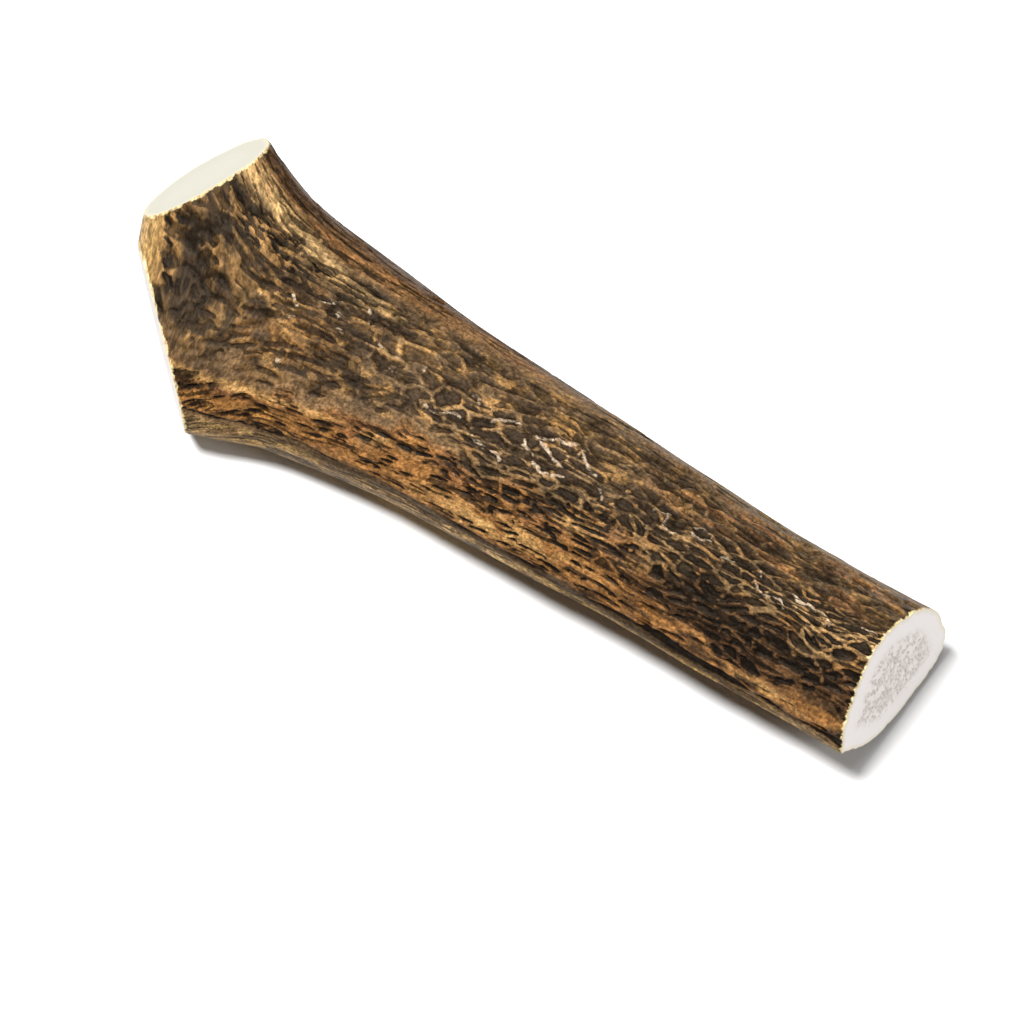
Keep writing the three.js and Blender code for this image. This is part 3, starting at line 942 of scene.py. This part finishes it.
def cap(bm, layers, loop, point, n, seed, spongy, yellowed_and_shaded):
    """Closes a saw cut with a flat ring of compact bone round a porous core."""
    side = n.cross(Vector((0, 0, 1))).normalized()
    up = side.cross(n).normalized()
    outline = np.array([((v.co - point).dot(side), (v.co - point).dot(up)) for v in loop]) / MM
    points, inner = cap_points(outline, seed)
    count = len(outline)
    edges = [(k, (k + 1) % count) for k in range(count)]
    corners = [Vector(p) for p in np.vstack([outline, points])]
    places, _, faces, origins = delaunay_2d_cdt(corners, edges, [], 1, 1e-6)[:4]

    core = smooth((inner - RING_WIDTH + CORE_FADE / 2) / CORE_FADE)
    edge, _, which = cells(points[:, 0], points[:, 1] / PORE_COLUMNS, PORE_SIZE, PORE_COLUMNS,
                           1.0, seed + 5, 0.95)
    pore = smooth((edge - 0.08) / 0.22) * smooth((which - 0.25) * 4)
    sink = PORE_DEPTH * core * pore * spongy
    brim = smooth(1.0 - inner / BRIM_WIDTH)
    for vert in loop:
        mark(vert, layers, (0.0, 0.0, yellowed_and_shaded, 1.0))
    verts = []
    for place, origin in zip(places, origins):
        own = origin[0] - count
        if own < 0:
            verts.append(loop[origin[0]])
            continue
        flat = point + side * (place[0] * MM) + up * (place[1] * MM)
        vert = bm.verts.new(flat - n * (float(sink[own]) * MM))
        marks = (float(core[own]) * spongy, float(core[own] * pore[own]) * spongy)
        mark(vert, layers, (*marks, yellowed_and_shaded, float(brim[own])))
        verts.append(vert)
    for face in faces:
        made_face = bm.faces.new([verts[k] for k in face])
        made_face.normal_update()
        if made_face.normal.dot(n) < 0:
            made_face.normal_flip()
        made_face.material_index = 1
        made_face.smooth = True


def saw(bm, layers, mount, seed, spongy, yellowed_and_shaded):
    """Cuts the piece flat at a mount of the frame and closes the cut."""
    point, normal = Vector(mount["pos_m"]), Vector(mount["axis"]).normalized()
    whole = bm.verts[:] + bm.edges[:] + bm.faces[:]
    bmesh.ops.bisect_plane(bm, geom=whole, plane_co=point, plane_no=normal, clear_outer=True)
    rim = [edge for edge in bm.edges if edge.is_boundary]
    for edge in rim:
        edge.smooth = False
    cap(bm, layers, loop_of(rim), point, normal, seed, spongy, yellowed_and_shaded)


# ---- materials ------------------------------------------------------------------------------

# Noises along the grain: how often they change along x and across, and their detail.
FINE = ((0.8, 1.3, 1.3), 6.0)
DASHED = ((0.32, 1.25, 1.25), 6.0)
SPECKLED = ((1.5, 1.7, 1.7), 5.0)
BROAD = ((0.22, 0.5, 0.5), 3.0)

# Where a mark starts and is full, in millimetres or in the noise's own value.
HOLLOW_FADE = (-0.05, 0.30)
RIDGE_FADE = (0.34, 0.04)
PALE_FADE = (0.44, 0.10)
PALE_GAPS = (0.38, 0.50)
DASH_FADE = (0.485, 0.435)
CUT_EDGE_FADE = (0.45, 0.20)
CONTRAST_FADE = (0.40, 0.60)
SPECK_FADE = (0.43, 0.57)
TONE_FADE = (0.25, 0.75)

RAGGEDNESS = 1.2
CUT_EDGE_RAGGEDNESS = 1.8
STREAK_SHARE = 0.85
RIDGE_SHARE = 0.55
PALE_SHARE = 0.72
CUT_EDGE_SHARE = 0.8
CONTRAST_SHARE = 0.31
SPECK_SHARE = 0.29
TONE_SHARE = 0.35
CORE_SHARE = 0.5
BRIM_SHARE = 0.7

BARK_ROUGHNESS = 0.45
BARK_SHINE = 0.10
BARK_SHINE_TINT = (1.0, 0.80, 0.60, 1.0)
BUMP_STRENGTH = 0.7
BUMP_HEIGHT = 0.3
BONE_ROUGHNESS = 0.6


class Shading:
    """The nodes of one material, with a short name for each step."""

    def __init__(self, name):
        self.material = bpy.data.materials.new(name)
        self.material.use_nodes = True
        self.nodes = self.material.node_tree.nodes
        self.links = self.material.node_tree.links
        self.shader = self.nodes["Principled BSDF"]

    def feed(self, socket, value):
        """Links a socket to another one, or sets a constant on it."""
        if isinstance(value, bpy.types.NodeSocket):
            self.links.new(value, socket)
        else:
            socket.default_value = value

    def attribute(self, name, output):
        node = self.nodes.new("ShaderNodeAttribute")
        node.attribute_name = name
        return node.outputs[output]

    def three_numbers(self, name):
        node = self.nodes.new("ShaderNodeSeparateXYZ")
        self.feed(node.inputs[0], self.attribute(name, "Vector"))
        return node.outputs["X"], node.outputs["Y"], node.outputs["Z"]

    def math(self, operation, a, b):
        node = self.nodes.new("ShaderNodeMath")
        node.operation = operation
        self.feed(node.inputs[0], a)
        self.feed(node.inputs[1], b)
        return node.outputs[0]

    def times(self, a, b):
        return self.math("MULTIPLY", a, b)

    def centred(self, value, strength):
        """A noise round 0 instead of round a half."""
        return self.times(self.math("SUBTRACT", value, 0.5), strength)

    def fade(self, value, start, end):
        """Smoothly 0 at start and 1 at end."""
        node = self.nodes.new("ShaderNodeMapRange")
        node.interpolation_type = "SMOOTHSTEP"
        node.inputs["From Min"].default_value = min(start, end)
        node.inputs["From Max"].default_value = max(start, end)
        if start > end:
            node.inputs["To Min"].default_value = 1.0
            node.inputs["To Max"].default_value = 0.0
        self.feed(node.inputs["Value"], value)
        return node.outputs["Result"]

    def blend(self, a, b, share, kind="MIX"):
        """Colour b over colour a."""
        node = self.nodes.new("ShaderNodeMix")
        node.data_type = "RGBA"
        node.blend_type = kind
        for name, value in (("Factor", share), ("A", a), ("B", b)):
            socket = [s for s in node.inputs if s.name == name and s.enabled][0]
            is_colour = isinstance(value, np.ndarray)
            self.feed(socket, (*value, 1) if is_colour else value)
        return [s for s in node.outputs if s.enabled][0]

    def noise(self, place, scale, detail):
        stretch = self.nodes.new("ShaderNodeMapping")
        stretch.inputs["Scale"].default_value = scale
        node = self.nodes.new("ShaderNodeTexNoise")
        node.inputs["Scale"].default_value = 1.0
        node.inputs["Detail"].default_value = detail
        node.inputs["Roughness"].default_value = 0.6
        self.feed(stretch.inputs["Vector"], place)
        self.feed(node.inputs["Vector"], stretch.outputs["Vector"])
        return node.outputs["Fac"]

    def bump(self, height):
        node = self.nodes.new("ShaderNodeBump")
        node.inputs["Strength"].default_value = BUMP_STRENGTH
        node.inputs["Distance"].default_value = BUMP_HEIGHT * MM
        self.feed(node.inputs["Height"], height)
        self.feed(self.shader.inputs["Normal"], node.outputs["Normal"])


def bark_marks(bark, fine, dash):
    """Colours of the bark's marks and how much each one covers. The marks start from distances
    that are kept on the vertices, and noise makes their edges ragged."""
    hollow, edge, darkness = bark.three_numbers("hollows")
    streak, pale, ridge_share = bark.three_numbers("lines")
    ragged = bark.centred(fine, RAGGEDNESS)
    chipped = bark.centred(dash, CUT_EDGE_RAGGEDNESS)

    def mark(distance, wobble, stretch):
        return bark.fade(bark.math("ADD", distance, wobble), *stretch)

    ridges = bark.times(mark(edge, ragged, RIDGE_FADE), ridge_share)
    dashes = bark.times(bark.fade(dash, *DASH_FADE), bark.attribute("dashes", "Fac"))
    pits = bark.times(mark(hollow, ragged, HOLLOW_FADE), darkness)
    # Painted highlight: cream glints along the pale ridges, partly the ridges' own pale colour.
    pale_ridge_glints = bark.times(mark(pale, ragged, PALE_FADE), bark.fade(dash, *PALE_GAPS))
    cut_edge = mark(bark.attribute("rim", "Fac"), chipped, CUT_EDGE_FADE)
    inside = bark.attribute("inside", "Color")
    return (
        (RIDGE, bark.times(ridges, RIDGE_SHARE)),
        (inside, bark.times(mark(streak, ragged, HOLLOW_FADE), STREAK_SHARE)),
        (inside, dashes),
        (inside, pits),
        (CREAM, bark.times(pale_ridge_glints, PALE_SHARE)),
        (CUT_EDGE, bark.times(cut_edge, CUT_EDGE_SHARE)),
    )


def bark_material():
    bark = Shading("antler_bark")
    grain = bark.attribute("grain", "Vector")
    fine = bark.noise(grain, *FINE)
    dash = bark.noise(grain, *DASHED)
    speck = bark.noise(grain, *SPECKLED)
    broad = bark.noise(grain, *BROAD)
    colour = bark.attribute("ground", "Color")
    for mark_colour, share in bark_marks(bark, fine, dash):
        colour = bark.blend(colour, mark_colour, share)
    overlays = (
        (fine, CONTRAST_FADE, CONTRAST_SHARE),
        (speck, SPECK_FADE, SPECK_SHARE),
        (broad, TONE_FADE, TONE_SHARE),
    )
    for noise_value, stretch, share in overlays:
        colour = bark.blend(colour, bark.fade(noise_value, *stretch), share, "OVERLAY")
    bark.feed(bark.shader.inputs["Base Color"], colour)
    bark.bump(fine)
    bark.shader.inputs["Roughness"].default_value = BARK_ROUGHNESS
    bark.shader.inputs["Specular IOR Level"].default_value = BARK_SHINE
    bark.shader.inputs["Specular Tint"].default_value = BARK_SHINE_TINT
    return bark.material


def bone_material():
    bone = Shading("antler_sawn_bone")
    core, pore, yellow_and_shade, brim = [bone.attribute(name, "Fac") for name in CAP_LAYERS]
    # Painted shade, partly real yellowing: the sawn faces listed as darkened get a darker copy
    # of the ivory.
    colour = bone.blend(IVORY, SHADED_YELLOW_IVORY, yellow_and_shade)
    colour = bone.blend(colour, CORE, bone.times(core, CORE_SHARE))
    colour = bone.blend(colour, PORE, pore)
    colour = bone.blend(colour, BRIM, bone.times(brim, BRIM_SHARE))
    bone.feed(bone.shader.inputs["Base Color"], colour)
    bone.shader.inputs["Roughness"].default_value = BONE_ROUGHNESS
    return bone.material


# ---- the piece ------------------------------------------------------------------------------

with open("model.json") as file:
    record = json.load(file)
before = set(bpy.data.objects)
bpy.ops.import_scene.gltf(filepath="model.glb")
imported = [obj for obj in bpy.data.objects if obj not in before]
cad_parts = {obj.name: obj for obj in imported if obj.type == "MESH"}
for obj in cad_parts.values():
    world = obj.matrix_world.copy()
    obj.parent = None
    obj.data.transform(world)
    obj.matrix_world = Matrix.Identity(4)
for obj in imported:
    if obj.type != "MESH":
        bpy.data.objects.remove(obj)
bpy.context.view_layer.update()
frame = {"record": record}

mounts = {mount["name"]: mount for mount in frame["record"]["mounts"]}
axes = np.array([Vector(mounts[name]["axis"]).normalized() for name in SAW_POINTS])
offsets = [np.dot(axis, np.array(mounts[name]["pos_m"]) / MM - SAW_POINTS[name])
           for axis, name in zip(axes, SAW_POINTS)]
set_down = np.linalg.solve(axes, offsets)

mesh = bark_mesh(set_down, mounts)
bm = bmesh.new()
bm.from_mesh(mesh)
for face in bm.faces:
    face.smooth = True
layers = [bm.verts.layers.float.new(name) for name in CAP_LAYERS]
for number, name in enumerate(SAW_POINTS):
    seed = FIRST_CAP_SEED + CAP_SEED_STEP * number
    saw(bm, layers, mounts[name], seed, SPONGY[name], YELLOWED_AND_SHADED[name])
bmesh.ops.triangulate(bm, faces=bm.faces[:])
bm.to_mesh(mesh)
bm.free()
mesh.materials.append(bark_material())
mesh.materials.append(bone_material())
antler = bpy.data.objects.new("antler_piece", mesh)
bpy.context.scene.collection.objects.link(antler)
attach(antler, "root")
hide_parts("antler")
print("triangles", len(mesh.polygons))

# ---- floor, light and camera ----------------------------------------------------------------

FLOOR_SIZE = 6.0
FLOOR_WHITE = (0.9, 0.9, 0.9, 1)
FLOOR_ROUGHNESS = 0.6
WORLD_STRENGTH = 0.05
LENS = 123.05
SENSOR_WIDTH = 36.0
CAMERA = Vector((0.16206, -0.24920, 0.60081))
AIM = Vector((0.00233, -0.00324, -0.00050))

# Name, place, diameter and power of each light.
LIGHTS = (
    ("key", (-0.40, -0.20, 1.36), 0.40, 28.5),
    ("overhead", (-0.10, 0.05, 1.50), 0.60, 3.8),
    ("side", (0.98, 0.06, 0.66), 0.50, 4.2),
)

bpy.ops.mesh.primitive_plane_add(size=FLOOR_SIZE, location=(0, 0, 0))
floor = bpy.context.object
floor.name = "floor"
table = Shading("white_table")
table.shader.inputs["Base Color"].default_value = FLOOR_WHITE
table.shader.inputs["Roughness"].default_value = FLOOR_ROUGHNESS
floor.data.materials.append(table.material)


def area_light(name, location, diameter, power):
    """A round light that faces the middle of the piece."""
    data = bpy.data.lights.new(name, "AREA")
    data.shape = "DISK"
    data.size = diameter
    data.energy = power
    lamp = bpy.data.objects.new(name, data)
    lamp.location = location
    lamp.rotation_euler = (-Vector(location)).to_track_quat("-Z", "Y").to_euler()
    bpy.context.scene.collection.objects.link(lamp)


for light in LIGHTS:
    area_light(*light)

world = bpy.data.worlds.new("studio")
world.use_nodes = True
world.node_tree.nodes["Background"].inputs["Color"].default_value = (1, 1, 1, 1)
world.node_tree.nodes["Background"].inputs["Strength"].default_value = WORLD_STRENGTH
bpy.context.scene.world = world
bpy.context.scene.view_settings.view_transform = "Standard"

camera_data = bpy.data.cameras.new("camera")
camera_data.sensor_width = SENSOR_WIDTH
camera_data.lens = LENS
camera = bpy.data.objects.new("camera", camera_data)
camera.location = CAMERA
camera.rotation_euler = (AIM - CAMERA).to_track_quat("-Z", "Y").to_euler()
bpy.context.scene.collection.objects.link(camera)
bpy.context.scene.camera = camera
